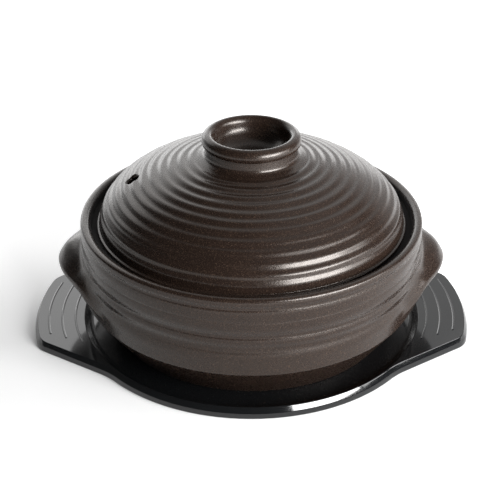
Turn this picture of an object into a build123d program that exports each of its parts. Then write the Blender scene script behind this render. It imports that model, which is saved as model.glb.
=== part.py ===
from build123d import *
import math
import os

# A stoneware casserole pot: a thrown pot with two luted lugs, a domed lid with a ring knob, and a
# moulded tray with two wings under it. Millimetres, +Z up, the table is z = 0, the lugs and the
# wings lie along X, and the origin is on the pot's axis.

# Driving dimensions: the tray
tray_height = 6.5
tray_floor = 3.0
tray_overhang = 4.5
tray_rim_width = 2.6
tray_dish_slope_width = 4.4
tray_edge_radius = 1.2
wing_reach = 27.0
wing_half_width = 36.5
wing_tip_radius = 120.0
wing_corner_radius = 13.0
wing_root_radius = 50.0
wing_root_angle = 39.0
wing_floor = 2.6
wing_skirt = 3.2
grip_rib_count = 3
grip_rib_pitch = 8.0
grip_rib_width = 1.6
grip_rib_height = 0.6
grip_rib_edge_gap = 8.5
grip_rib_half_length = 38.0
grip_rib_shortening = 4.5

# Driving dimensions: the pot
pot_radius = 100.0
pot_height = 69.5
pot_wall = 7.5
pot_floor = 6.5
foot_radius = 83.0
foot_width = 13.0
foot_recess = 1.2
base_corner_height = 21.5
base_corner_break = 0.9
lip_width = 5.2
lip_height = 5.4
lip_neck_inset = 1.7
gallery_depth = 5.5
gallery_rim_width = 6.2
gallery_width = 8.5
gallery_thickness = 5.0
gallery_under_slope = 4.2
inside_corner_radius = 14.0

# Outline of the wall from under the lip down to the base corner. The first number is the share of
# the banded height, from the top; the second is the share of the groove depth that it lies inward.
groove_depth = 2.4
wall_band_shares = (
    (0.0, 0.1), (0.02, 0.0), (0.17, 0.0), (0.19, 0.1), (0.2, 0.35), (0.21, 0.1), (0.36, 0.1),
    (0.45, 0.7), (0.47, 0.5), (0.52, 0.5), (0.56, 0.65), (0.635, 1.0), (0.65, 0.3), (0.68, 0.25),
    (1.0, 0.6),
)

# Driving dimensions: the two lugs
lug_reach = 15.2
lug_top_drop = 14.5
lug_height = 34.0
lug_half_angle = 31.0
lug_nose_height = 5.0
lug_nose_round = 1.25

# Sections of half a lug, from its middle to its end, each as a share of the lug's own size: angle,
# reach of the nose, reach of the shoulder, levels of the top, the nose and the bottom, and bulge.
lug_section_shares = (
    (0.0, 1.0, -0.07, 0.0, 0.45, 1.0, 0.15),
    (0.27, 0.83, -0.07, 0.02, 0.47, 1.0, 0.04),
    (0.47, 0.56, -0.08, 0.04, 0.49, 1.0, -0.08),
    (0.62, 0.38, -0.1, 0.06, 0.53, 0.99, -0.07),
    (0.76, 0.2, -0.15, 0.13, 0.68, 0.985, -0.05),
    (0.89, 0.0, -0.22, 0.25, 0.79, 0.98, -0.03),
    (1.0, -0.165, -0.35, 0.36, 0.84, 0.975, -0.03),
)
lug_underside_hollow_share = 0.1

# Driving dimensions: the lid
lid_gap = 3.6
lid_flange_width = 1.6
lid_flange_thickness = 3.4
lid_flange_break = 0.8
lid_rise = 40.4
lid_wall = 6.0
lid_shape_power = 1.87
crown_radius = 29.5
ridge_count = 12
ridge_height = 0.7
vent_diameter = 7.0
vent_reach = 68.5
vent_azimuth = 182.0

# Driving dimensions: the knob
knob_height = 14.4
knob_radius = 28.3
knob_neck_radius = 26.2
knob_step_radius = 27.7
knob_cup_radius = 21.8
knob_cup_floor_radius = 14.5
knob_bead_height = 6.3
knob_bead_belly = 3.1
knob_cup_lip_drop = 0.75
knob_neck_round = 0.7
knob_flare_height = 2.4
knob_flare_edge = 0.6

# Cuts run this far past what they cut, and the two curves are walked in this many steps
overrun = 5.0
walk_steps = 2000
hollow_steps = 6


def turned(outline):
    """Solid of revolution of an outline that lies in the half plane x > 0, z up."""
    return revolve(Plane.XZ * make_face(outline), Axis.Z)


# Places that the pieces share
pot_base = tray_floor
lip_top = pot_base + pot_height
lip_crest_radius = pot_radius - lip_width / 2
base_corner_z = pot_base + base_corner_height
bands_top = lip_top - lip_height
bands_height = bands_top - base_corner_z
gallery_z = lip_top - gallery_depth
gallery_outer = pot_radius - gallery_rim_width
gallery_inner = gallery_outer - gallery_width
lid_radius = gallery_outer - lid_gap
dome_radius = lid_radius - lid_flange_width
dome_base = gallery_z + lid_flange_thickness
tray_radius = pot_radius + tray_overhang
wing_tip = tray_radius + wing_reach
wing_tip_centre = wing_tip - wing_tip_radius


def pot_outside():
    """Outer outline of the pot from the foot's edge up to the crest of the lip."""
    wall = [
        (pot_radius - inset_share * groove_depth, bands_top - drop_share * bands_height)
        for drop_share, inset_share in reversed(wall_band_shares)
    ]
    corner = wall[0]
    below_corner = (corner[0] - base_corner_break, corner[1] - base_corner_break)
    neck = (pot_radius - lip_neck_inset, bands_top)
    bead_low = (pot_radius, lip_top - lip_width / 2)
    bead = TangentArc((lip_crest_radius, lip_top), bead_low, tangent=(1, 0))
    return Polyline((foot_radius, pot_base), below_corner, *wall, neck, bead_low) + bead


def pot_mass():
    """The pot's outer form as a full solid, which the lugs are cut back to."""
    closing = Polyline((lip_crest_radius, lip_top), (0, lip_top), (0, pot_base), (foot_radius, pot_base))
    return turned(pot_outside() + closing)


def make_pot_body():
    inside_radius = pot_radius - pot_wall
    floor_z = pot_base + pot_floor
    floor_radius = foot_radius - pot_wall
    recess_z = pot_base + foot_recess
    recess_radius = foot_radius - foot_width
    under_gallery = gallery_z - gallery_thickness
    inner_lip = (gallery_outer, lip_top - lip_width / 2)
    slope_top = (inside_radius, base_corner_z)
    slope_run = math.dist(slope_top, (floor_radius, floor_z))
    slope = ((floor_radius - inside_radius) / slope_run, (floor_z - base_corner_z) / slope_run)
    bend_high = (
        floor_radius - slope[0] * inside_corner_radius / 2,
        floor_z - slope[1] * inside_corner_radius / 2,
    )
    bend_low = (floor_radius - inside_corner_radius / 2, floor_z)
    outline = pot_outside()
    outline += TangentArc((lip_crest_radius, lip_top), inner_lip, tangent=(-1, 0))
    outline += Polyline(
        inner_lip,
        (gallery_outer, gallery_z),
        (gallery_inner, gallery_z),
        (gallery_inner, under_gallery),
        (inside_radius, under_gallery - gallery_under_slope),
        slope_top,
        bend_high,
    )
    outline += TangentArc(bend_high, bend_low, tangent=slope)
    outline += Polyline(
        bend_low,
        (0, floor_z),
        (0, recess_z),
        (recess_radius - foot_recess, recess_z),
        (recess_radius, pot_base),
        (foot_radius, pot_base),
    )
    return turned(outline)


def lug_section(angle, reach_share, shoulder_share, top_share, nose_share, bottom_share, bulge_share):
    """Upright section of a lug, in the plane through the axis at this angle."""
    level = lip_top - lug_top_drop
    root = pot_radius - 2 * pot_wall
    shoulder = pot_radius + lug_reach * shoulder_share
    nose_radius = pot_radius + lug_reach * reach_share
    top = level - lug_height * top_share
    nose = level - lug_height * nose_share
    bottom = level - lug_height * bottom_share
    nose_top = (nose_radius - lug_nose_round, nose + lug_nose_height / 2)
    nose_low = (nose_radius - lug_nose_round, nose - lug_nose_height / 2)
    run = nose_top[0] - shoulder
    fall = top - nose_top[1]
    rise = nose_low[1] - bottom
    top_middle = (shoulder + run / 2 + fall * bulge_share, top - fall / 2 + run * bulge_share)
    hollow_share = lug_underside_hollow_share
    under_middle = (shoulder + run / 2 - rise * hollow_share, bottom + rise / 2 + run * hollow_share)
    edges = Polyline((shoulder, bottom), (root, bottom), (root, top), (shoulder, top))
    edges += ThreePointArc((shoulder, top), top_middle, nose_top)
    edges += ThreePointArc(nose_top, (nose_radius, nose), nose_low)
    edges += ThreePointArc(nose_low, under_middle, (shoulder, bottom))
    return Plane.XZ.rotated((0, 0, angle)) * make_face(edges)


def make_lug(side_angle):
    rows = [(-row[0], *row[1:]) for row in reversed(lug_section_shares[1:])]
    rows += lug_section_shares
    sections = [lug_section(row[0] * lug_half_angle, *row[1:]) for row in rows]
    blank = loft(sections)
    return Rot(0, 0, side_angle) * (blank - pot_mass())


def dome_point(turn, radius, base, rise):
    """Point of a superellipse dome; turn runs from 0 at its foot to a quarter turn at its top."""
    power = 2 / lid_shape_power
    return (radius * math.cos(turn) ** power, base + rise * math.sin(turn) ** power)


def dome_turn(radius):
    """Turn at which the outside of the dome has this radius."""
    return math.acos((radius / dome_radius) ** (lid_shape_power / 2))


def dome_normal(point):
    """Direction straight out of the dome at one of its outside points."""
    across = (point[0] / dome_radius) ** (lid_shape_power - 1) / dome_radius
    upward = ((point[1] - dome_base) / lid_rise) ** (lid_shape_power - 1) / lid_rise
    length = math.hypot(across, upward)
    return (across / length, upward / length)


crown_z = dome_point(dome_turn(crown_radius), dome_radius, dome_base, lid_rise)[1]


def dome_walk(count):
    """Points at equal steps along the outside of the dome, from its foot to the crown."""
    fine = [
        dome_point(dome_turn(crown_radius) * step / walk_steps, dome_radius, dome_base, lid_rise)
        for step in range(walk_steps + 1)
    ]
    lengths = [0]
    for first, second in zip(fine, fine[1:]):
        lengths.append(lengths[-1] + math.dist(first, second))
    stations = []
    for number in range(count + 1):
        goal = lengths[-1] * number / count
        stations.append(min(zip(lengths, fine), key=lambda pair: abs(pair[0] - goal))[1])
    return stations


def make_lid_dome():
    ridge_line = []
    for number, point in enumerate(dome_walk(2 * ridge_count)):
        normal = dome_normal(point)
        lift = ridge_height / 2 * (1 if number % 2 else -1)
        ridge_line.append((point[0] + normal[0] * lift, point[1] + normal[1] * lift))
    ridge_line[0] = (dome_radius, dome_base)
    ridge_line[-1] = (crown_radius, crown_z)
    inner_radius = dome_radius - lid_wall
    inner_rise = crown_z - lid_wall - gallery_z
    turns = [math.pi / 2 * step / hollow_steps for step in range(hollow_steps)]
    hollow = [dome_point(turn, inner_radius, gallery_z, inner_rise) for turn in turns]
    hollow.append((0, gallery_z + inner_rise))
    outline = Polyline(
        (inner_radius, gallery_z),
        (lid_radius, gallery_z),
        (lid_radius, dome_base - lid_flange_break),
        (lid_radius - lid_flange_break, dome_base),
        (dome_radius, dome_base),
    )
    for valley, crest, next_valley in zip(ridge_line[::2], ridge_line[1::2], ridge_line[2::2]):
        outline += ThreePointArc(valley, crest, next_valley)
    outline += Polyline((crown_radius, crown_z), (0, crown_z), hollow[-1])
    outline += Spline(*hollow)
    vent_place = dome_point(dome_turn(vent_reach), dome_radius, dome_base, lid_rise)
    across, upward = dome_normal(vent_place)
    drill = Cylinder(vent_diameter / 2, 2 * (lid_wall + overrun))
    drill = Rot(0, math.degrees(math.atan2(across, upward)), 0) * drill
    drill = Pos(vent_place[0], 0, vent_place[1]) * drill
    return turned(outline) - Rot(0, 0, vent_azimuth) * drill


def make_lid_knob():
    top = crown_z + knob_height
    bead_low = top - knob_bead_height
    bead_crest = ((knob_cup_radius + knob_radius) / 2, top)
    belly = (knob_radius, bead_low + knob_bead_belly)
    cup_edge = (knob_cup_radius, top - knob_cup_lip_drop)
    flare_top = (knob_neck_radius, crown_z + knob_flare_height)
    flare_edge = (crown_radius - knob_flare_edge, crown_z + knob_flare_edge)
    outline = Polyline((knob_cup_floor_radius, crown_z), (crown_radius, crown_z), flare_edge)
    outline += TangentArc(flare_top, flare_edge, tangent=(0, -1))
    outline += Polyline(
        flare_top,
        (knob_neck_radius, bead_low - knob_neck_round),
        (knob_step_radius, bead_low),
    )
    outline += TangentArc(belly, (knob_step_radius, bead_low), tangent=(0, -1))
    outline += TangentArc(belly, bead_crest, tangent=(0, 1))
    outline += TangentArc(bead_crest, cup_edge, tangent=(-1, 0))
    outline += TangentArc(cup_edge, (knob_cup_floor_radius, crown_z), tangent=(0, -1))
    return turned(outline)


def wing_outline(side):
    """Plan of one wing, from inside the disc out to its curved tip; side is 1 or -1."""
    corner_x = side * (wing_tip_centre + math.sqrt(wing_tip_radius**2 - wing_half_width**2))
    root_x = side * tray_radius * math.cos(math.radians(wing_root_angle))
    root_y = tray_radius * math.sin(math.radians(wing_root_angle))
    sides = Polyline(
        (corner_x, -wing_half_width), (root_x, -root_y), (root_x, root_y), (corner_x, wing_half_width)
    )
    tip = ThreePointArc((corner_x, wing_half_width), (side * wing_tip, 0), (corner_x, -wing_half_width))
    return make_face(sides + tip)


def tray_plan():
    """Plan of the tray: a disc with a wing on each side, its corners rounded."""
    plan = Circle(tray_radius) + wing_outline(1) + wing_outline(-1)
    tips = [corner for corner in plan.vertices() if abs(corner.X) > tray_radius]
    plan = fillet(tips, wing_corner_radius)
    roots = [corner for corner in plan.vertices() if abs(corner.X) < tray_radius]
    return fillet(roots, wing_root_radius)


def grip_rib(number, side):
    """One raised grip line on a wing; number counts inwards from the wing's tip."""
    inset = grip_rib_edge_gap + grip_rib_pitch * number
    radius = wing_tip_radius - inset
    half_length = grip_rib_half_length - grip_rib_shortening * (grip_rib_count - 1 - number)
    half_angle = math.degrees(math.asin(half_length / radius))
    middle_angle = 90 - 90 * side
    path = CenterArc((0, 0), radius, middle_angle - half_angle, 2 * half_angle)
    path = Pos(side * wing_tip_centre, 0, tray_height) * path
    start = Plane(path @ 0, x_dir=(0, 0, 1), z_dir=path % 0)
    return sweep(start * Ellipse(grip_rib_height, grip_rib_width / 2), path)


def make_tray():
    plan = tray_plan()
    blank = extrude(plan, tray_height)
    top_edges = blank.faces().sort_by(Axis.Z)[-1].edges()
    tray = fillet(top_edges, tray_edge_radius)
    crest = tray_radius - tray_rim_width
    dish = Polyline(
        (0, tray_floor),
        (crest - tray_dish_slope_width, tray_floor),
        (crest, tray_height),
        (crest, tray_height + overrun),
        (0, tray_height + overrun),
        (0, tray_floor),
    )
    tray -= turned(dish)
    pocket = offset(plan, -wing_skirt) - Circle(tray_radius)
    tray -= Pos(0, 0, -overrun) * extrude(pocket, overrun + tray_height - wing_floor)
    for side in (1, -1):
        for number in range(grip_rib_count):
            tray += grip_rib(number, side)
    return tray


makers = {
    "tray": make_tray,
    "pot_body": make_pot_body,
    "pot_handle_left": lambda: make_lug(180),
    "pot_handle_right": lambda: make_lug(0),
    "lid_dome": make_lid_dome,
    "lid_knob": make_lid_knob,
}

os.makedirs("parts", exist_ok=True)
for name, maker in makers.items():
    piece = maker()
    export_step(piece, f"parts/{name}.step")
    box = piece.bounding_box()
    print(name, [round(value, 2) for value in (*box.min, *box.max)])
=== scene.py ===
# %% [markdown]
# # A stoneware casserole on its tray
#
# The object is a thrown pot of dark brown stoneware with a domed lid, standing on a black moulded
# tray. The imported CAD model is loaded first: it says where every piece is and what moves with what.
# Everything after that only dresses it.

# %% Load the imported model
import math

import bmesh
import bpy
import numpy as np
from mathutils import Matrix, Vector


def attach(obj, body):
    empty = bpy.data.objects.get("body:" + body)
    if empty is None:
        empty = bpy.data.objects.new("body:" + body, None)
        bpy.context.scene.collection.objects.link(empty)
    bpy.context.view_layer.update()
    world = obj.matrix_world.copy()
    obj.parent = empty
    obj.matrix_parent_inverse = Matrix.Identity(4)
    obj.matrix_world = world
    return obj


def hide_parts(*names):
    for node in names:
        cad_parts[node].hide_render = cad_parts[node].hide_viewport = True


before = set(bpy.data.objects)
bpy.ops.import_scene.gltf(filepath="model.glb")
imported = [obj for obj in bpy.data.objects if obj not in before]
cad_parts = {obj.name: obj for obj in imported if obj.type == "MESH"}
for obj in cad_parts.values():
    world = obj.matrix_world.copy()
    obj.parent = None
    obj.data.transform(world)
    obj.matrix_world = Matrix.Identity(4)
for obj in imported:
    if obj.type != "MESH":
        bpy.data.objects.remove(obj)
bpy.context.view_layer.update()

# %% [markdown]
# ## The camera
#
# The rings of the pot are circles, so their ellipses in the photo give the camera: it stands 600 mm
# in front of the pot's axis and 315 mm above the lip, and looks down by 29.67 degrees. The object is
# turned one degree about its axis. Turning the camera the other way instead keeps the object in the
# CAD frame.

# %% Camera
MM = 0.001
LIP_TOP = 72.5
camera_distance = 600.0
camera_height = LIP_TOP + 315.0
camera_side = -0.8
camera_pitch = 29.67
object_turn = 1.0
focal_pixels = 1155.0
image_width = 500.0
sensor_width = 36.0

turn = math.radians(-object_turn)
camera_data = bpy.data.cameras.new("studio_camera")
camera_data.sensor_width = sensor_width
camera_data.lens = sensor_width * focal_pixels / image_width
camera_data.clip_start = 10 * MM
camera = bpy.data.objects.new("studio_camera", camera_data)
camera.location = Vector((
    camera_side * math.cos(turn) + camera_distance * math.sin(turn),
    camera_side * math.sin(turn) - camera_distance * math.cos(turn),
    camera_height,
)) * MM
camera.rotation_euler = (math.radians(90.0 - camera_pitch), 0.0, turn)
bpy.context.collection.objects.link(camera)
bpy.context.scene.camera = camera
print("camera lens, mm:", round(camera_data.lens, 2))

# %% [markdown]
# ## Materials from nodes
#
# A material is a tree of nodes. Each tree here is made with one function that adds a node, applies
# its settings, and fills its inputs, by name or number, with values or with what other nodes give.
# Colours are written as the hex codes of a paint program, and turned into the linear values that
# Blender works in.

# %% Helpers for materials
def add_node(tree, kind, settings=None, inputs=None):
    """Adds a node. An input is a value, an output, or a node that stands for its first output."""
    node = tree.nodes.new(kind)
    for key, value in (settings or {}).items():
        setattr(node, key, value)
    for key, value in (inputs or {}).items():
        if isinstance(value, bpy.types.Node):
            value = value.outputs[0]
        if isinstance(value, bpy.types.NodeSocket):
            tree.links.new(value, node.inputs[key])
        else:
            node.inputs[key].default_value = value
    return node


def linear(code):
    """Linear colour of an sRGB hex code."""
    parts = [int(code[start:start + 2], 16) / 255 for start in (1, 3, 5)]
    return (*(c / 12.92 if c <= 0.04045 else ((c + 0.055) / 1.055) ** 2.4 for c in parts), 1.0)


def new_material(name):
    """A material with nodes, its tree and its Principled shader."""
    material = bpy.data.materials.new(name)
    material.use_nodes = True
    tree = material.node_tree
    return material, tree, tree.nodes["Principled BSDF"]


print("mid grey, linear:", round(linear("#808080")[0], 3))

# %% [markdown]
# ## The glaze
#
# The pot and lid are stoneware, dipped in an iron glaze and fired until it turns a satin dark brown.
# Such a glaze is a thin glassy layer full of tiny crystals: it mirrors only softly, it breaks up a
# highlight into grains, and its surface has the fine dimples of orange peel. So the material is a
# dielectric with a middling roughness, a grain of 0.75 mm in its colour and roughness, and a bump of
# the same size. The real grain is near 0.3 mm; it is drawn coarser so that it shows. The iron warms
# what the glaze mirrors, so its reflections are tinted a little.
#
# Where pot and lid touch, the potter wipes the glaze off, so that they don't fuse in the kiln. The
# seat, the flange and the wall of the vent get a nearly black, quite matt colour, which is painted
# shade: it stands for the deep shade in the gap between lid and rim and inside the vent.

# %% Glaze, and painted shade for the gap and the vent
def glaze(name):
    """Satin brown iron glaze: cloudy dark brown with paler flecks, softly glossy, faintly dimpled."""
    material, tree, shader = new_material(name)
    place = add_node(tree, "ShaderNodeTexCoord").outputs["Object"]
    grain_mm, mottle_mm, dimple_mm = 0.75, 9.0, 0.12
    dark_glaze, light_glaze, fleck = "#19120f", "#221914", "#33271f"
    grain = add_node(tree, "ShaderNodeTexNoise", inputs={
        "Vector": place, "Scale": 1 / (grain_mm * MM), "Detail": 2.0, "Roughness": 0.6})
    mottle = add_node(tree, "ShaderNodeTexNoise", inputs={
        "Vector": place, "Scale": 1 / (mottle_mm * MM), "Detail": 3.0})
    speckle = add_node(tree, "ShaderNodeMapRange", inputs={
        "Value": grain.outputs["Fac"], "From Min": 0.56, "From Max": 0.7})
    base = add_node(tree, "ShaderNodeMix", {"data_type": "RGBA"}, {
        0: mottle.outputs["Fac"], 6: linear(dark_glaze), 7: linear(light_glaze)})
    flecked = add_node(tree, "ShaderNodeMix", {"data_type": "RGBA"}, {
        0: speckle.outputs["Result"], 6: base.outputs[2], 7: linear(fleck)})
    rough = add_node(tree, "ShaderNodeMapRange", inputs={
        "Value": grain.outputs["Fac"], "From Min": 0.3, "From Max": 0.7,
        "To Min": 0.21, "To Max": 0.32})
    bump = add_node(tree, "ShaderNodeBump", inputs={
        "Height": grain.outputs["Fac"], "Strength": 0.22, "Distance": dimple_mm * MM})
    tree.links.new(flecked.outputs[2], shader.inputs["Base Color"])
    tree.links.new(rough.outputs["Result"], shader.inputs["Roughness"])
    tree.links.new(bump.outputs["Normal"], shader.inputs["Normal"])
    shader.inputs["IOR"].default_value = 1.42
    shader.inputs["Specular Tint"].default_value = linear("#fff8f2")
    return material


def painted_shade_clay(name):
    """Painted shade: one even, nearly black, matt colour for the gap and the vent, where shade falls.
    """
    material, _, shader = new_material(name)
    # This nearly black matt colour is painted shade for the gap between lid and rim and for the
    # vent's wall.
    shader.inputs["Base Color"].default_value = linear("#14100e")
    shader.inputs["Roughness"].default_value = 0.95
    return material


glazed_stoneware = glaze("iron_glazed_stoneware")
# A material of painted shade, for the gap between lid and rim and the vent's wall.
painted_shade_stoneware = painted_shade_clay("painted_shade_dark_stoneware")
print("glaze nodes:", len(glazed_stoneware.node_tree.nodes))

# %% [markdown]
# ## The tray's plastic
#
# The tray is moulded melamine, polished black. It mirrors the studio sharply, a little wavy where
# the moulding has shrunk, and has hardly any colour of its own.

# %% Melamine material
def melamine(name):
    """Polished black melamine: a sharp gloss, faintly wavy, with fine scuffs in its roughness."""
    material, tree, shader = new_material(name)
    place = add_node(tree, "ShaderNodeTexCoord").outputs["Object"]
    wave_mm, scuff_mm, wave_height_mm = 14.0, 0.9, 0.06
    wave = add_node(tree, "ShaderNodeTexNoise", inputs={
        "Vector": place, "Scale": 1 / (wave_mm * MM), "Detail": 1.0})
    scuff = add_node(tree, "ShaderNodeTexNoise", inputs={
        "Vector": place, "Scale": 1 / (scuff_mm * MM), "Detail": 3.0})
    rough = add_node(tree, "ShaderNodeMapRange", inputs={
        "Value": scuff.outputs["Fac"], "From Min": 0.35, "From Max": 0.75,
        "To Min": 0.07, "To Max": 0.13})
    bump = add_node(tree, "ShaderNodeBump", inputs={
        "Height": wave.outputs["Fac"], "Strength": 0.3, "Distance": wave_height_mm * MM})
    tree.links.new(rough.outputs["Result"], shader.inputs["Roughness"])
    tree.links.new(bump.outputs["Normal"], shader.inputs["Normal"])
    shader.inputs["Base Color"].default_value = linear("#0c0d0e")
    shader.inputs["IOR"].default_value = 1.55
    return material


black_melamine = melamine("polished_black_melamine")
print("melamine nodes:", len(black_melamine.node_tree.nodes))

# %% [markdown]
# ## The pot
#
# The pot is thrown on a wheel, so its wall is an outline turned about the axis. The outline is given
# by its corners, each with the rounding that the fired glaze leaves on it. The lugs are lumps of
# clay pressed on by hand and smoothed into the wall. At each angle and height the surface has one
# radius, so wall and lug are two radii of which the larger counts, with a small fillet where they
# meet. That gives one skin of clay with no seam, which no union of solids would. Points of the skin
# that fall together, as at the pole of a turned shape, are merged.

# %% Helpers for outlines
largest_arm_share = 0.49


def softened(corners, steps=5):
    """Outline through corners (radius, height, rounding), each corner rounded by a small curve."""
    points = [np.array(corners[0][:2], float)]
    for before, here, after in zip(corners, corners[1:], corners[2:]):
        corner = np.array(here[:2], float)
        arms = [np.array(other[:2], float) - corner for other in (before, after)]
        cuts = []
        for arm in arms:
            length = np.linalg.norm(arm)
            cuts.append(corner + arm / length * min(here[2], length * largest_arm_share))
        for step in range(steps + 1):
            share = step / steps
            curve = (1 - share) ** 2 * cuts[0] + 2 * share * (1 - share) * corner
            points.append(curve + share ** 2 * cuts[1])
    points.append(np.array(corners[-1][:2], float))
    return np.array(points)


def refined(points, longest):
    """The same outline with no step longer than this."""
    result = [points[0]]
    for first, second in zip(points, points[1:]):
        parts = max(1, math.ceil(np.linalg.norm(second - first) / longest))
        result += [first + (second - first) * part / parts for part in range(1, parts + 1)]
    return np.array(result)


print("points of a softened corner:", len(softened([(0, 0, 0), (1, 0, 0.2), (1, 1, 0)])))

# %% Outline of the pot's wall, with heights below the lip
pot_radius, foot_radius, foot_bottom, foot_step, foot_inside = 100.0, 83.0, -69.5, 1.2, 70.0
mouth_radius, seat_radius, inside_radius = 93.8, 85.3, 92.5
seat_level, inside_top, inside_floor = -5.5, -14.7, -63.0
wall_corners = [
    (foot_radius, foot_bottom, 0.6), (97.8, -48.7, 0.5), (98.5, -47.9, 0.8), (99.3, -36.5, 3.0),
    (97.6, -31.6, 2.6), (98.9, -27.8, 1.6), (98.8, -25.9, 1.2), (97.9, -23.6, 1.8),
    (99.7, -19.4, 2.6), (99.75, -14.7, 1.0), (99.5, -13.9, 0.9), (99.75, -13.1, 1.2),
    (99.9, -8.0, 1.6), (98.9, -5.6, 1.4), (100.0, -3.6, 1.6), (99.2, 0.0, 2.8),
    (95.2, 0.0, 2.2), (mouth_radius, -3.0, 1.6),
]
inside_corners = [
    (mouth_radius, seat_level, 0.4), (seat_radius, seat_level, 0.9),
    (seat_radius, seat_level - 5.0, 1.0), (inside_radius, inside_top, 1.5),
    (inside_radius, -48.0, 6.0), (75.5, inside_floor, 7.0), (0.0, inside_floor, 0.0),
]
underneath = softened([
    (0.0, foot_bottom + foot_step, 0.0), (foot_inside - 1.4, foot_bottom + foot_step, 0.6),
    (foot_inside, foot_bottom, 0.5), (foot_radius, foot_bottom, 0.0)])[:-1]
outline = softened(wall_corners + inside_corners)
crest_row = int(np.argmax(outline[:, 1]))
outer_step, inner_step, underneath_step = 0.6, 6.0, 12.0
pot_outline = np.vstack([
    refined(underneath, underneath_step), refined(outline[:crest_row], outer_step),
    refined(outline[crest_row:], inner_step)])
print("pot outline points:", len(pot_outline))

# %% The lugs as a radius for each angle and height
lug_reach, lug_top, lug_height, lug_half_angle = 15.2, -14.5, 34.0, 31.0
nose_extra, shoulder_round, nose_round, under_round, under_bulge_share = 0.6, 8.0, 3.0, 6.0, 0.06
# angle, reach of nose and shoulder, levels of top, nose and bottom, bulge, as shares of the lug
lug_shares = np.array([
    (0.0, 1.0, -0.07, 0.0, 0.45, 1.0, 0.15),
    (0.27, 0.83, -0.07, 0.02, 0.47, 1.0, 0.04),
    (0.47, 0.56, -0.08, 0.04, 0.49, 1.0, -0.08),
    (0.62, 0.38, -0.1, 0.06, 0.53, 0.99, -0.07),
    (0.76, 0.2, -0.15, 0.13, 0.68, 0.985, -0.05),
    (0.89, 0.0, -0.22, 0.25, 0.79, 0.98, -0.03),
    (1.0, -0.165, -0.35, 0.36, 0.84, 0.975, -0.03),
])


def eased_row(table, place):
    """Row of a table at a place in its first column, on a smooth curve through the rows."""
    mirrored = np.vstack([table[:0:-1] * np.array([-1] + [1] * (table.shape[1] - 1)), table])
    keys = mirrored[:, 0]
    slopes = np.gradient(mirrored, keys, axis=0)
    spot = int(np.clip(np.searchsorted(keys, place) - 1, 0, len(keys) - 2))
    width = keys[spot + 1] - keys[spot]
    share = (place - keys[spot]) / width
    ease = (2 * share ** 3 - 3 * share ** 2 + 1, -2 * share ** 3 + 3 * share ** 2)
    lean = (share ** 3 - 2 * share ** 2 + share, share ** 3 - share ** 2)
    row = mirrored[spot] * ease[0] + mirrored[spot + 1] * ease[1]
    return row + width * (slopes[spot] * lean[0] + slopes[spot + 1] * lean[1])


def lug_section(place):
    """Heights and radii down a lug's upright section at a share of its half angle."""
    _, reach, shoulder, top, nose, bottom, bulge = eased_row(lug_shares, abs(place))
    start = np.array((pot_radius + lug_reach * shoulder, lug_top - lug_height * top))
    tip = np.array((pot_radius + lug_reach * reach + nose_extra, lug_top - lug_height * nose))
    end = np.array((start[0], lug_top - lug_height * bottom))
    across = np.array((start[1] - tip[1], tip[0] - start[0]))
    middle = (start + tip) / 2 + across * bulge
    below = np.array((end[1] - tip[1], tip[0] - end[0]))
    under = (end + tip) / 2 + below * under_bulge_share
    section = softened([
        (*start, 0), (*middle, shoulder_round), (*tip, nose_round), (*under, under_round),
        (*end, 0)], 10)
    return section[::-1, 1], section[::-1, 0]


def lug_radius(angle, heights):
    """Radius of the nearest lug at each height, or 0 where there is none."""
    place = ((angle + 90.0) % 180.0 - 90.0) / lug_half_angle
    if abs(place) > 1.0:
        return np.zeros_like(heights)
    levels, radii = lug_section(place)
    return np.interp(heights, levels, radii, left=0.0, right=0.0)


print("lug nose radius, mm:", round(float(lug_section(0.0)[1].max()), 1))

# %% Helpers for meshes
merge_distance, shortest_edge = 0.002, 0.001


def new_piece(name, points, faces, material):
    """A smooth-shaded object from points in millimetres, faces pointing out."""
    mesh = bpy.data.meshes.new(name)
    mesh.from_pydata([Vector(point) * MM for point in points], [], faces)
    work = bmesh.new()
    work.from_mesh(mesh)
    bmesh.ops.remove_doubles(work, verts=work.verts, dist=merge_distance * MM)
    bmesh.ops.dissolve_degenerate(work, edges=work.edges, dist=shortest_edge * MM)
    bmesh.ops.recalc_face_normals(work, faces=work.faces)
    work.to_mesh(mesh)
    work.free()
    mesh.materials.append(material)
    mesh.shade_smooth()
    piece = bpy.data.objects.new(name, mesh)
    bpy.context.collection.objects.link(piece)
    print(name, "faces:", len(mesh.polygons))
    return piece


def grid_faces(rows, columns):
    """Quads of a grid whose last column joins its first."""
    faces = []
    for row in range(rows - 1):
        for column in range(columns):
            after = (column + 1) % columns
            first, second = row * columns, (row + 1) * columns
            faces.append((first + column, first + after, second + after, second + column))
    return faces


print("quads of a grid of 3 rows and 4 columns:", len(grid_faces(3, 4)))

# %% The pot's skin
pot_columns, fillet = 360, 3.0
least_wall_radius, lowest_lug = 97.0, -50.0
angles = np.arange(pot_columns) * 360.0 / pot_columns
on_wall = (
    (pot_outline[:, 0] > least_wall_radius) & (pot_outline[:, 1] < seat_level)
    & (pot_outline[:, 1] > lowest_lug))
pot_points = np.zeros((len(pot_outline), pot_columns, 3))
for column, angle in enumerate(angles):
    radii = pot_outline[:, 0].copy()
    lug = lug_radius(angle, pot_outline[:, 1])
    overlap = np.clip(fillet - np.abs(radii - lug), 0.0, None) / fillet
    blended = np.maximum(radii, lug) + overlap ** 2 * fillet / 4
    radii = np.where(on_wall & (lug > 0), blended, radii)
    pot_points[:, column, 0] = radii * math.cos(math.radians(angle))
    pot_points[:, column, 1] = radii * math.sin(math.radians(angle))
    pot_points[:, column, 2] = LIP_TOP + pot_outline[:, 1]
pot = new_piece(
    "pot_skin", pot_points.reshape(-1, 3), grid_faces(len(pot_outline), pot_columns),
    glazed_stoneware)

# %% Painted shade on the seat of the lid
# Where the painted shade goes on the pot, by radius and by height below the lip.
shaded_radii = (seat_radius - 0.3, mouth_radius + 0.4)
shaded_levels = (seat_level - 1.5, -1.6)


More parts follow.
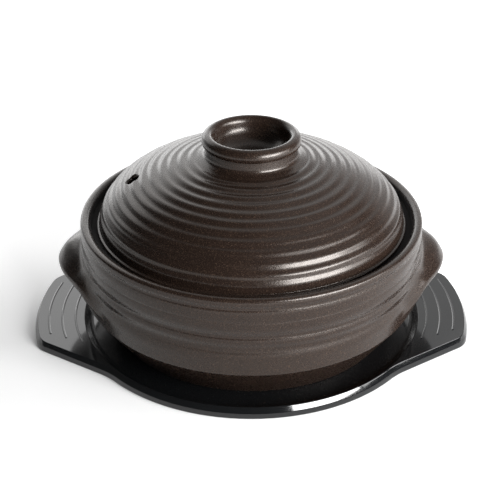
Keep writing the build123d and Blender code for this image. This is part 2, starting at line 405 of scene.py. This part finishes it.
def paint_shade_on(piece, is_shaded):
    """Gives the painted shade material to the faces whose centre, in millimetres, answers to a rule.
    """
    piece.data.materials.append(painted_shade_stoneware)
    shaded_faces = [face for face in piece.data.polygons if is_shaded(face.center / MM)]
    for face in shaded_faces:
        face.material_index = 1
    print(piece.name, "faces with painted shade:", len(shaded_faces))


def on_seat(centre):
    """Says whether a point is on the seat, or on the wall of the mouth above it."""
    radius, level = Vector(centre[:2]).length, centre.z - LIP_TOP
    return shaded_radii[0] < radius < shaded_radii[1] and shaded_levels[0] < level < shaded_levels[1]


# The seat and the mouth's wall above it get painted shade, for the dark gap between lid and rim.
paint_shade_on(pot, on_seat)
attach(pot, "pot")
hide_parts("pot_body", "pot_handle_left", "pot_handle_right")

# %% [markdown]
# ## The lid
#
# The lid is turned too. Its dome is a superellipse, and the potter's finger left twelve rings on it
# at equal steps along the curve. A rule like that suits Geometry Nodes: the outline goes in as a
# chain of points that know how far up the dome they are, and the tree turns it about the axis and
# lifts it along its normal by a cosine. The rings of a thrown lid are never quite even, so a slow
# noise makes them fade and wander a little. The knob is thrown apart and pressed on, so the same
# outline runs on over its flare, neck, bead and cup.

# %% Curve of the dome
gallery = LIP_TOP + seat_level
dome_radius, dome_base, dome_rise, dome_power = 88.6, 70.4, 40.4, 1.87
crown_radius, lid_wall, knob_flare = 29.5, 6.0, 1.6
dome_points, hollow_points, fine_points, nearly_none = 150, 36, 4000, 0.01


def dome_line(radius, base, rise, smallest, count):
    """Points at equal steps up a superellipse, from its foot to a smallest radius."""
    last = math.acos((smallest / radius) ** (dome_power / 2))
    turns = np.linspace(0.0, last, fine_points)
    fine = np.stack([
        radius * np.cos(turns) ** (2 / dome_power), base + rise * np.sin(turns) ** (2 / dome_power)
    ], axis=1)
    lengths = np.concatenate([[0.0], np.cumsum(np.linalg.norm(np.diff(fine, axis=0), axis=1))])
    goals = np.linspace(0.0, lengths[-1], count)
    return np.stack([np.interp(goals, lengths, fine[:, axis]) for axis in (0, 1)], axis=1)


dome = dome_line(dome_radius, dome_base, dome_rise, crown_radius + knob_flare, dome_points)
crown = dome_line(dome_radius, dome_base, dome_rise, crown_radius, 2)[-1][1]
hollow = dome_line(
    dome_radius - lid_wall, gallery, crown - lid_wall - gallery, nearly_none, hollow_points)[::-1]
hollow[0, 0] = 0.0
print("crown height, mm:", round(float(crown), 2))

# %% Outline of the whole lid
flange_radius, flange_inside, flange_edge, flange_top = 90.2, 83.4, 1.9, 2.2
flange = softened([
    (*hollow[-1], 0.0), (flange_inside, gallery, 0.5), (flange_radius, gallery, 0.6),
    (flange_radius, gallery + flange_edge, 0.6), (dome_radius + 0.2, gallery + flange_top, 0.4),
    (*dome[0], 0.0)])[1:-1]
knob_corners = [
    (*dome[-1], 0.0), (27.6, crown + 0.7, 1.4), (26.5, crown + 2.2, 1.6),
    (26.1, crown + 7.3, 0.5), (27.9, crown + 7.9, 0.7), (28.7, crown + 10.2, 2.0),
    (27.6, crown + 13.1, 2.2), (25.3, crown + 14.45, 1.5), (23.5, crown + 14.3, 1.2),
    (21.7, crown + 12.3, 1.6), (20.6, crown + 5.4, 4.6), (14.0, crown + 0.5, 6.0),
    (0.0, crown + 0.05, 0.0),
]
knob_step = 1.6
knob = refined(softened(knob_corners), knob_step)[1:]
lid_outline = np.vstack([hollow[:-1], flange, dome, knob])
print("lid outline points:", len(lid_outline))

# %% The outline as a chain that carries its rings
# The rings grow over the first tenth of the way up the dome and fade over the last thirtieth.
growth, fading = 10.0, 30.0
first_dome = len(hollow) - 1 + len(flange)
steps = np.gradient(lid_outline, axis=0)
lengths = np.linalg.norm(steps, axis=1, keepdims=True)
outward = np.stack([steps[:, 1], -steps[:, 0]], axis=1) / lengths
ring_place = np.zeros(len(lid_outline))
ring_weight = np.zeros(len(lid_outline))
dome_rows = slice(first_dome, first_dome + len(dome))
ring_place[dome_rows] = np.linspace(0.0, 1.0, len(dome))
ring_weight[dome_rows] = np.clip(np.minimum(
    np.linspace(0.0, growth, len(dome)), np.linspace(fading, 0.0, len(dome))), 0.0, 1.0)
chain = bpy.data.meshes.new("lid_outline")
chain.from_pydata([(x * MM, 0.0, z * MM) for x, z in lid_outline], [], [])
for name, values in (("ring_place", ring_place), ("ring_weight", ring_weight)):
    chain.attributes.new(name, "FLOAT", "POINT").data.foreach_set("value", values)
chain.attributes.new("outward", "FLOAT_VECTOR", "POINT").data.foreach_set(
    "vector", np.stack([outward[:, 0], 0 * outward[:, 0], outward[:, 1]], axis=1).ravel())
lid = bpy.data.objects.new("lid_skin", chain)
bpy.context.collection.objects.link(lid)
print("rows with rings:", int((ring_weight > 0).sum()))


# %% A sheet with a row for each point of the chain
def new_tree(name, sockets):
    """An empty geometry tree that takes these inputs, and the sockets that give them inside it."""
    tree = bpy.data.node_groups.new(name, "GeometryNodeTree")
    tree.interface.new_socket("Geometry", in_out="INPUT", socket_type="NodeSocketGeometry")
    tree.interface.new_socket("Geometry", in_out="OUTPUT", socket_type="NodeSocketGeometry")
    for label, kind in sockets:
        tree.interface.new_socket(label, in_out="INPUT", socket_type=f"NodeSocket{kind}")
    return tree, tree.nodes.new("NodeGroupInput").outputs


turning, given = new_tree("turned_with_rings", [
    ("Columns", "Int"), ("Rings", "Float"), ("Ring height", "Float"), ("Unevenness", "Float")])
rows = add_node(turning, "GeometryNodeAttributeDomainSize", inputs={
    "Geometry": given["Geometry"]}).outputs["Point Count"]
edges = add_node(turning, "ShaderNodeMath", {"operation": "ADD"}, {0: given["Columns"], 1: 1.0})
sheet = add_node(turning, "GeometryNodeMeshGrid", inputs={
    "Size X": 1.0, "Size Y": 1.0, "Vertices X": rows, "Vertices Y": edges})
spot = add_node(turning, "ShaderNodeSeparateXYZ", inputs={
    0: add_node(turning, "GeometryNodeInputPosition")})
row_share = add_node(turning, "ShaderNodeMath", {"operation": "ADD"}, {
    0: spot.outputs["X"], 1: 0.5})
last_row = add_node(turning, "ShaderNodeMath", {"operation": "SUBTRACT"}, {0: rows, 1: 1.0})
row_place = add_node(turning, "ShaderNodeMath", {"operation": "MULTIPLY"}, {
    0: row_share, 1: last_row})
row = add_node(turning, "ShaderNodeMath", {"operation": "ROUND"}, {0: row_place})
angle = add_node(turning, "ShaderNodeMath", {"operation": "MULTIPLY_ADD"}, {
    0: spot.outputs["Y"], 1: 2 * math.pi, 2: math.pi})
print("nodes that make the sheet:", len(turning.nodes))

# %% What the sheet reads from its row of the chain
read = {}
for name, kind in (
        ("position", "FLOAT_VECTOR"), ("outward", "FLOAT_VECTOR"), ("ring_place", "FLOAT"),
        ("ring_weight", "FLOAT")):
    field = add_node(
        turning, "GeometryNodeInputNamedAttribute", {"data_type": kind}, {"Name": name})
    read[name] = add_node(
        turning, "GeometryNodeSampleIndex", {"data_type": kind, "domain": "POINT"}, {
            "Geometry": given["Geometry"], "Value": field, "Index": row})
print("read from the chain:", ", ".join(read))

# %% A slow noise round and up the dome
way_up = 5.0
cosine = add_node(turning, "ShaderNodeMath", {"operation": "COSINE"}, {0: angle})
sine = add_node(turning, "ShaderNodeMath", {"operation": "SINE"}, {0: angle})
level = add_node(turning, "ShaderNodeMath", {"operation": "MULTIPLY"}, {
    0: read["ring_place"], 1: way_up})
wander = add_node(turning, "ShaderNodeTexNoise", {"noise_dimensions": "3D"}, {
    "Vector": add_node(turning, "ShaderNodeCombineXYZ", inputs={0: cosine, 1: sine, 2: level}),
    "Scale": 1.1, "Detail": 1.0})
centred = add_node(turning, "ShaderNodeMath", {"operation": "SUBTRACT"}, {0: wander, 1: 0.5})
sway = add_node(turning, "ShaderNodeMath", {"operation": "MULTIPLY"}, {
    0: centred, 1: given["Unevenness"]})
print("nodes up to the noise:", len(turning.nodes))

# %% Rings that wander and fade with it
sway_of_height = 2.0
ring_number = add_node(turning, "ShaderNodeMath", {"operation": "MULTIPLY_ADD"}, {
    0: read["ring_place"], 1: given["Rings"], 2: sway})
phase = add_node(turning, "ShaderNodeMath", {"operation": "MULTIPLY_ADD"}, {
    0: ring_number, 1: 2 * math.pi, 2: math.pi})
wave = add_node(turning, "ShaderNodeMath", {"operation": "COSINE"}, {0: phase})
uneven = add_node(turning, "ShaderNodeMath", {"operation": "MULTIPLY_ADD"}, {
    0: sway, 1: sway_of_height, 2: 1.0})
swell = add_node(turning, "ShaderNodeMath", {"operation": "MULTIPLY"}, {0: wave, 1: uneven})
faded = add_node(turning, "ShaderNodeMath", {"operation": "MULTIPLY"}, {
    0: swell, 1: read["ring_weight"]})
half_height = add_node(turning, "ShaderNodeMath", {"operation": "MULTIPLY"}, {
    0: given["Ring height"], 1: 0.5})
lift = add_node(turning, "ShaderNodeMath", {"operation": "MULTIPLY"}, {0: faded, 1: half_height})
raised = add_node(turning, "ShaderNodeVectorMath", {"operation": "MULTIPLY_ADD"}, {
    0: read["outward"], 1: lift, 2: read["position"]})
print("nodes up to the rings:", len(turning.nodes))

# %% The sheet turned about the axis and joined
seam_distance = 0.005


def finish_tree(tree, geometry, material):
    """Ends a tree in real, smooth mesh with its material."""
    real = add_node(tree, "GeometryNodeRealizeInstances", inputs={"Geometry": geometry})
    smooth = add_node(tree, "GeometryNodeSetShadeSmooth", inputs={"Geometry": real})
    coated = add_node(tree, "GeometryNodeSetMaterial", inputs={
        "Geometry": smooth, "Material": material})
    add_node(tree, "NodeGroupOutput", inputs={"Geometry": coated})


flat = add_node(turning, "ShaderNodeSeparateXYZ", inputs={0: raised})
turned_x = add_node(turning, "ShaderNodeMath", {"operation": "MULTIPLY"}, {
    0: flat.outputs["X"], 1: cosine})
turned_y = add_node(turning, "ShaderNodeMath", {"operation": "MULTIPLY"}, {
    0: flat.outputs["X"], 1: sine})
turned_place = add_node(turning, "ShaderNodeCombineXYZ", inputs={
    0: turned_x, 1: turned_y, 2: flat.outputs["Z"]})
placed = add_node(turning, "GeometryNodeSetPosition", inputs={
    "Geometry": sheet, "Position": turned_place})
joined = add_node(turning, "GeometryNodeMergeByDistance", inputs={
    "Geometry": placed, "Distance": seam_distance * MM})
finish_tree(turning, joined, glazed_stoneware)
print("nodes of the whole tree:", len(turning.nodes))


# %% The tree run on the chain, and kept as plain mesh
def baked(piece, tree, values):
    """Runs a tree on a piece with these input values, and keeps the plain mesh it gives."""
    modifier = piece.modifiers.new(tree.name, "NODES")
    modifier.node_group = tree
    for item in tree.interface.items_tree:
        if item.item_type == "SOCKET" and item.in_out == "INPUT" and item.name in values:
            modifier[item.identifier] = values[item.name]
    depsgraph = bpy.context.evaluated_depsgraph_get()
    mesh = bpy.data.meshes.new_from_object(piece.evaluated_get(depsgraph), depsgraph=depsgraph)
    piece.modifiers.remove(modifier)
    piece.data = mesh
    work = bmesh.new()
    work.from_mesh(mesh)
    bmesh.ops.recalc_face_normals(work, faces=work.faces)
    work.to_mesh(mesh)
    work.free()
    print(piece.name, "faces:", len(mesh.polygons))


baked(lid, turning, {"Columns": 320, "Rings": 12.0, "Ring height": 0.52 * MM, "Unevenness": 0.3})

# %% [markdown]
# ## The steam vent
#
# The vent is a hole of 7 to 8 mm pushed through the soft clay square to the dome, so its outer edge
# is rounded. A drill with a flared end is cut from the lid, which leaves such an edge.

# %% The drill
vent_radius, vent_reach, vent_azimuth, drill_columns = 3.85, 68.5, 182.0, 40
drill_depth, drill_height = 14.0, 6.0
# The flare by how much wider the drill gets and at what height above the dome's surface.
flare = [(0.0, -1.3), (0.125, -0.9), (0.35, -0.5), (0.8, 0.0)]
vent_turn = math.acos((vent_reach / dome_radius) ** (dome_power / 2))
vent_height = dome_base + dome_rise * math.sin(vent_turn) ** (2 / dome_power)
vent_place = Vector((vent_reach, 0.0, vent_height))
slope = Vector((
    (vent_reach / dome_radius) ** (dome_power - 1) / dome_radius, 0.0,
    ((vent_height - dome_base) / dome_rise) ** (dome_power - 1) / dome_rise)).normalized()
drill_outline = [
    (0.0, -drill_depth), (vent_radius, -drill_depth),
    *((vent_radius + wider, height) for wider, height in flare), (0.0, drill_height)]
drill_points = [
    (radius * math.cos(turn), radius * math.sin(turn), height) for radius, height in drill_outline
    for turn in np.linspace(0, 2 * math.pi, drill_columns, endpoint=False)]
drill = new_piece(
    "vent_drill", drill_points, grid_faces(len(drill_outline), drill_columns), glazed_stoneware)
tilt = slope.to_track_quat("Z", "Y").to_matrix().to_4x4()
spin = Matrix.Rotation(math.radians(vent_azimuth), 4, "Z")
drill.data.transform(spin @ Matrix.Translation(vent_place * MM) @ tilt)

# %% Cut the vent
cut = lid.modifiers.new("vent", "BOOLEAN")
cut.operation = "DIFFERENCE"
cut.object = drill
cut.solver = "EXACT"
depsgraph = bpy.context.evaluated_depsgraph_get()
lid_mesh = bpy.data.meshes.new_from_object(lid.evaluated_get(depsgraph), depsgraph=depsgraph)
lid.modifiers.remove(cut)
lid.data = lid_mesh
bpy.data.objects.remove(drill)
print("lid faces after the cut:", len(lid.data.polygons))

# %% Painted shade on the vent and the flange
vent_axis, vent_middle = spin.to_3x3() @ slope, spin.to_3x3() @ vent_place
vent_margin, shaded_height = 0.1, 2.4


def in_vent_or_on_flange(centre):
    """Says whether a point is on the wall of the vent or on the flange."""
    offset = centre - vent_middle
    near_axis = offset.cross(vent_axis).length < vent_radius + vent_margin
    in_wall = abs(offset.dot(vent_axis)) < 2 * lid_wall
    return centre.z < gallery + shaded_height or (near_axis and in_wall)


# The flange and the wall of the vent get painted shade, for the dark gap and the dark hole.
paint_shade_on(lid, in_vent_or_on_flange)
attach(lid, "lid")
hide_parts("lid_dome", "lid_knob")

# %% [markdown]
# ## The tray
#
# The tray is a disc with two wings, and seen from above each direction from its middle meets its
# edge once. So its skin is a grid: columns go round the edge, and each column runs from the middle
# of the dish over the crest, across the rim or wing, down the side and back underneath. The edge is
# made of arcs and straight lines that touch, as the CAD plan is. The side leans in towards its top,
# which lets such a piece leave its mould, and so it mirrors the lamp at the right front.

# %% Plan of the tray
disc, wing_tip, tip_radius, wing_half, root_angle = 104.5, 131.5, 120.0, 36.5, 39.0
corner_round, root_round, disc_points, arc_points = 13.0, 50.0, 60, 30
tip_centre = np.array((wing_tip - tip_radius, 0.0))
root = disc * np.array((math.cos(math.radians(root_angle)), math.sin(math.radians(root_angle))))
corner = tip_centre + np.array((math.sqrt(tip_radius ** 2 - wing_half ** 2), wing_half))
along = (corner - root) / np.linalg.norm(corner - root)
outside = np.array((-along[1], along[0]))


def touching_centre(shift, middle, distance):
    """Centre on a line beside the wing's side that lies at this distance from a middle."""
    start = root + shift * outside - middle
    half = float(start @ along)
    reach = math.sqrt(half ** 2 - float(start @ start) + distance ** 2)
    return start + middle + (reach - half) * along


def arc(centre, radius, first, last, count):
    """Points of the shorter arc between two points round a centre."""
    angles = [math.atan2(*(point - centre)[::-1]) for point in (first, last)]
    change = (angles[1] - angles[0] + math.pi) % (2 * math.pi) - math.pi
    turns = angles[0] + change * np.linspace(0.0, 1.0, count)
    return centre + radius * np.stack([np.cos(turns), np.sin(turns)], axis=1)


middle = np.zeros(2)
root_centre = touching_centre(root_round, middle, disc + root_round)
corner_centre = touching_centre(-corner_round, tip_centre, tip_radius - corner_round)
on_disc = root_centre * disc / (disc + root_round)
toward_tip = (corner_centre - tip_centre) * tip_radius / (tip_radius - corner_round)
quarter = np.vstack([
    arc(middle, disc, np.array((0.0, disc)), on_disc, disc_points),
    arc(root_centre, root_round, on_disc, root_centre - root_round * outside, arc_points),
    arc(corner_centre, corner_round, corner_centre + corner_round * outside,
        tip_centre + toward_tip, arc_points),
    arc(tip_centre, tip_radius, tip_centre + toward_tip, np.array((wing_tip, 0.0)), arc_points),
])
whole = np.vstack([
    quarter[:-1], (quarter * (1, -1))[::-1][:-1], (quarter * (-1, -1))[:-1],
    (quarter * (-1, 1))[::-1]])
runs = np.concatenate([[0.0], np.cumsum(np.linalg.norm(np.diff(whole, axis=0), axis=1))])
tray_columns = 600
goals = np.linspace(0.0, runs[-1], tray_columns, endpoint=False)
edge = np.stack([np.interp(goals, runs, whole[:, axis]) for axis in (0, 1)], axis=1)
print("tray edge, mm:", round(float(runs[-1]), 1), "root at", np.round(on_disc, 1))

# %% The tray's skin
tray_top, dish_floor, crest_radius, dish_slope = 6.5, 3.0, 101.9, 4.4
wing_floor, wing_skirt, least_skirt, dish_step = 2.6, 3.2, 1.0, 9.0
flat_start = crest_radius + 0.2
dish = softened([
    (0.0, dish_floor, 0.0), (crest_radius - dish_slope, dish_floor, 1.6),
    (crest_radius - 0.3, tray_top, 0.5), (flat_start, tray_top, 0.0)], 7)
# The side's outline, by inset from the edge and height.
leaning_side = softened([
    (2.3, tray_top, 0.0), (2.0, tray_top, 0.5), (0.25, 3.3, 0.6), (0.0, 1.4, 0.8),
    (0.0, 0.5, 0.3), (0.5, 0.0, 0.0)])
edge_radius = np.linalg.norm(edge, axis=1)
heading = edge / edge_radius[:, None]
pocket_radius = np.maximum(edge_radius - wing_skirt, disc)
pocket_top = np.where(edge_radius - wing_skirt > disc, tray_top - wing_floor, 0.0)
pocket_outside = np.minimum(pocket_radius, edge_radius - least_skirt)
pocket_inside = np.minimum(disc, edge_radius - least_skirt - 0.1)
flat_width = edge_radius - leaning_side[0][0] - flat_start


def ring(radius, height):
    """One ring of the skin. A plain number holds for every column."""
    radius, height = np.broadcast_to(radius, tray_columns), np.broadcast_to(height, tray_columns)
    return np.column_stack([heading * radius[:, None], height])


rings = [ring(radius, height) for radius, height in refined(dish, dish_step)]
rings += [ring(flat_start + flat_width * share, tray_top) for share in (0.3, 0.6, 0.85)]
rings += [ring(edge_radius - inset, height) for inset, height in leaning_side]
rings += [ring(pocket_outside, height) for height in (0.0, pocket_top)]
rings += [ring(pocket_inside, height) for height in (pocket_top, 0.0)]
rings.append(ring(0.0, 0.0))
tray = new_piece(
    "tray_skin", np.vstack(rings), grid_faces(len(rings), tray_columns), black_melamine)
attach(tray, "tray")
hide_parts("tray")

# %% [markdown]
# ## The grip lines
#
# Each wing carries three raised lines that follow its curved tip, the inner ones longer. They are
# one rule with a number in it, so a small tree makes them: points in rows, each row one arc, joined
# to curves and given a round section that sinks a little into the wing.

# %% Places along the grip lines
grips = bpy.data.objects.new("tray_grip_lines", bpy.data.meshes.new("tray_grip_lines"))
bpy.context.collection.objects.link(grips)
lines, given = new_tree("grip_lines", [
    ("Lines", "Int"), ("Pitch", "Float"), ("Outer radius", "Float"), ("Centre", "Float"),
    ("Short half length", "Float"), ("Lengthening", "Float"), ("Thickness", "Float"),
    ("Height", "Float")])
samples = 60
count = add_node(lines, "ShaderNodeMath", {"operation": "MULTIPLY"}, {
    0: given["Lines"], 1: 2 * samples})
index = add_node(lines, "GeometryNodeInputIndex")
line_place = add_node(lines, "ShaderNodeMath", {"operation": "DIVIDE"}, {0: index, 1: samples})
line = add_node(lines, "ShaderNodeMath", {"operation": "FLOOR"}, {0: line_place})
pair_place = add_node(lines, "ShaderNodeMath", {"operation": "DIVIDE"}, {0: line, 1: 2.0})
number = add_node(lines, "ShaderNodeMath", {"operation": "FLOOR"}, {0: pair_place})
odd = add_node(lines, "ShaderNodeMath", {"operation": "MODULO"}, {0: line, 1: 2.0})
left_or_right = add_node(lines, "ShaderNodeMath", {"operation": "MULTIPLY_ADD"}, {
    0: odd, 1: 2.0, 2: -1.0})
sample = add_node(lines, "ShaderNodeMath", {"operation": "MODULO"}, {0: index, 1: samples})
from_middle = add_node(lines, "ShaderNodeMath", {"operation": "MULTIPLY_ADD"}, {
    0: sample, 1: 2 / (samples - 1), 2: -1.0})
print("nodes that number the points:", len(lines.nodes))

# %% Where each point lies
inward = add_node(lines, "ShaderNodeMath", {"operation": "MULTIPLY"}, {
    0: given["Pitch"], 1: number})
radius = add_node(lines, "ShaderNodeMath", {"operation": "SUBTRACT"}, {
    0: given["Outer radius"], 1: inward})
half_length = add_node(lines, "ShaderNodeMath", {"operation": "MULTIPLY_ADD"}, {
    0: given["Lengthening"], 1: number, 2: given["Short half length"]})
sine_of_end = add_node(lines, "ShaderNodeMath", {"operation": "DIVIDE"}, {
    0: half_length, 1: radius})
end_bend = add_node(lines, "ShaderNodeMath", {"operation": "ARCSINE"}, {0: sine_of_end})
bend = add_node(lines, "ShaderNodeMath", {"operation": "MULTIPLY"}, {0: from_middle, 1: end_bend})
cosine = add_node(lines, "ShaderNodeMath", {"operation": "COSINE"}, {0: bend})
sine = add_node(lines, "ShaderNodeMath", {"operation": "SINE"}, {0: bend})
out = add_node(lines, "ShaderNodeMath", {"operation": "MULTIPLY_ADD"}, {
    0: radius, 1: cosine, 2: given["Centre"]})
path_x = add_node(lines, "ShaderNodeMath", {"operation": "MULTIPLY"}, {0: left_or_right, 1: out})
path_y = add_node(lines, "ShaderNodeMath", {"operation": "MULTIPLY"}, {0: radius, 1: sine})
path = add_node(lines, "ShaderNodeCombineXYZ", inputs={0: path_x, 1: path_y, 2: given["Height"]})
print("nodes up to their places:", len(lines.nodes))

# %% Blunt-ended bars along them
end_power, least_taper = 24.0, 0.08
dots = add_node(lines, "GeometryNodePoints", inputs={
    "Count": count, "Position": path, "Radius": MM})
curves = add_node(lines, "GeometryNodePointsToCurves", inputs={
    "Points": dots, "Curve Group ID": line})
section = add_node(lines, "GeometryNodeCurvePrimitiveCircle", {"mode": "RADIUS"}, {
    "Resolution": 14, "Radius": given["Thickness"]})
along_line = add_node(lines, "GeometryNodeSplineParameter").outputs["Factor"]
ends = add_node(lines, "ShaderNodeMath", {"operation": "MULTIPLY_ADD"}, {
    0: along_line, 1: 2.0, 2: -1.0})
to_end = add_node(lines, "ShaderNodeMath", {"operation": "ABSOLUTE"}, {0: ends})
thinning = add_node(lines, "ShaderNodeMath", {"operation": "POWER"}, {0: to_end, 1: end_power})
remaining = add_node(lines, "ShaderNodeMath", {"operation": "SUBTRACT"}, {0: 1.0, 1: thinning})
rounded = add_node(lines, "ShaderNodeMath", {"operation": "SQRT"}, {0: remaining})
taper = add_node(lines, "ShaderNodeMath", {"operation": "MAXIMUM"}, {0: rounded, 1: least_taper})
tapered = add_node(lines, "GeometryNodeSetCurveRadius", inputs={"Curve": curves, "Radius": taper})
swept = add_node(lines, "GeometryNodeCurveToMesh", inputs={
    "Curve": tapered, "Profile Curve": section, "Fill Caps": True})
finish_tree(lines, swept, black_melamine)
grip_inset, grip_sink = 8.5, 0.4
baked(grips, lines, {
    "Lines": 3, "Pitch": 8.0 * MM, "Outer radius": (tip_radius - grip_inset) * MM,
    "Centre": float(tip_centre[0]) * MM, "Short half length": 29.0 * MM,
    "Lengthening": 4.5 * MM, "Thickness": 0.8 * MM, "Height": (tray_top - grip_sink) * MM})
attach(grips, "tray")

# %% [markdown]
# ## The studio
#
# The photo is a product shot on white. The lid and the tray's right edge mirror a window of light at
# the right front, and the wings and the upper lid mirror wide dim lights behind. The left front is
# dark. So one strong soft box stands at the right front, with a dim one above it and another at the
# right side. A low and a high one stand behind, and a large dim one hangs at the right back, which
# throws the soft shadow to the lower left.
#
# The floor is white paper. To the camera and in mirror images it glows a little, more behind the pot
# and far out, as a lit sweep does, and hardly near the pot, so that the shadow stays. The world is
# plain white to the camera. In mirror images only the part behind the pot is white. A dim fill comes
# from all round.

# %% Floor
def shown_directly(tree):
    """1 for rays from the camera and rays mirrored or bent by the object, else 0."""
    rays = add_node(tree, "ShaderNodeLightPath").outputs
    seen = add_node(tree, "ShaderNodeMath", {"operation": "MAXIMUM"}, {
        0: rays["Is Camera Ray"], 1: rays["Is Glossy Ray"]})
    return add_node(tree, "ShaderNodeMath", {"operation": "MAXIMUM"}, {
        0: seen, 1: rays["Is Transmission Ray"]})


floor_half = 15000.0
out_start, out_end, least_glow, most_glow = 180.0, 600.0, 0.1, 0.9
back_start, back_end, back_glow = -70.0, 110.0, 0.75
paper = bpy.data.materials.new("white_paper_floor")
paper.use_nodes = True
tree = paper.node_tree
tree.nodes.clear()
lit = add_node(tree, "ShaderNodeBsdfDiffuse", inputs={"Color": linear("#e4e4e4")})
here = add_node(tree, "ShaderNodeTexCoord").outputs["Object"]
from_pot = add_node(tree, "ShaderNodeVectorMath", {"operation": "LENGTH"}, {0: here})
out_there = add_node(tree, "ShaderNodeMapRange", {"interpolation_type": "SMOOTHSTEP"}, {
    "Value": from_pot.outputs["Value"], "From Min": out_start * MM, "From Max": out_end * MM,
    "To Min": least_glow, "To Max": most_glow})
behind = add_node(tree, "ShaderNodeMapRange", {"interpolation_type": "SMOOTHSTEP"}, {
    "Value": add_node(tree, "ShaderNodeSeparateXYZ", inputs={0: here}).outputs["Y"],
    "From Min": back_start * MM, "From Max": back_end * MM,
    "To Min": 0.0, "To Max": back_glow})
whiteness = add_node(tree, "ShaderNodeMath", {"operation": "MAXIMUM"}, {0: out_there, 1: behind})
glow = add_node(tree, "ShaderNodeEmission", inputs={
    "Color": linear("#ffffff"),
    "Strength": add_node(tree, "ShaderNodeMath", {"operation": "MULTIPLY"}, {
        0: shown_directly(tree), 1: whiteness})})
both = add_node(tree, "ShaderNodeAddShader", inputs={0: lit, 1: glow})
add_node(tree, "ShaderNodeOutputMaterial", inputs={"Surface": both})
floor = new_piece("floor", [
    (x * floor_half, y * floor_half, 0.0) for x, y in ((-1, -1), (1, -1), (1, 1), (-1, 1))
], [(0, 1, 2, 3)], paper)

# %% World
world = bpy.data.worlds.new("studio")
bpy.context.scene.world = world
world.use_nodes = True
tree = world.node_tree
tree.nodes.clear()
fill_level, white_start, white_end = 0.06, 0.3, 0.85
way = add_node(tree, "ShaderNodeSeparateXYZ", inputs={
    0: add_node(tree, "ShaderNodeTexCoord").outputs["Generated"]})
backdrop = add_node(tree, "ShaderNodeMapRange", {"interpolation_type": "SMOOTHSTEP"}, {
    "Value": way.outputs["Y"], "From Min": white_start, "From Max": white_end})
mirrored = add_node(tree, "ShaderNodeMath", {"operation": "MULTIPLY"}, {
    0: shown_directly(tree), 1: backdrop})
shown = add_node(tree, "ShaderNodeMath", {"operation": "MAXIMUM"}, {
    0: add_node(tree, "ShaderNodeLightPath").outputs["Is Camera Ray"], 1: mirrored})
strength = add_node(tree, "ShaderNodeMath", {"operation": "MAXIMUM"}, {0: shown, 1: fill_level})
sky = add_node(tree, "ShaderNodeBackground", inputs={
    "Color": linear("#ffffff"), "Strength": strength})
add_node(tree, "ShaderNodeOutputWorld", inputs={"Surface": sky})
print("world fill:", fill_level)

# %% Lamps
pot_middle = Vector((0.0, 0.0, 60.0)) * MM


def soft_box(name, bearing, elevation, distance, width, height, watts):
    """A rectangular lamp aimed at the pot; bearing runs from straight behind towards the right."""
    around, up = math.radians(bearing), math.radians(elevation)
    direction = Vector((
        math.sin(around) * math.cos(up), math.cos(around) * math.cos(up), math.sin(up)))
    data = bpy.data.lights.new(name, "AREA")
    data.shape = "RECTANGLE"
    data.size, data.size_y, data.energy = width, height, watts
    lamp = bpy.data.objects.new(name, data)
    lamp.location = pot_middle + direction * distance
    lamp.rotation_euler = direction.to_track_quat("Z", "Y").to_euler()
    bpy.context.collection.objects.link(lamp)
    print(name, "radiance:", round(watts / (math.pi * width * height), 2))


# name, bearing and elevation in degrees, distance, width and height in metres, watts
for box in (
    ("box_right_front", 135, 18, 1.3, 1.0, 0.42, 46.0),
    ("box_right_front_high", 136, 36, 1.4, 0.8, 0.35, 3.0),
    ("box_right_side", 102, 16, 1.3, 0.45, 0.42, 5.0),
    ("box_back_low", -6, 9, 2.0, 2.4, 0.6, 13.0),
    ("box_back_high", -25, 31, 2.0, 2.1, 0.7, 7.2),
    ("box_back_overhead", 52, 64, 1.8, 2.2, 1.8, 6.0),
):
    soft_box(*box)

# %% Colour handling
bpy.context.scene.view_settings.view_transform = "Standard"
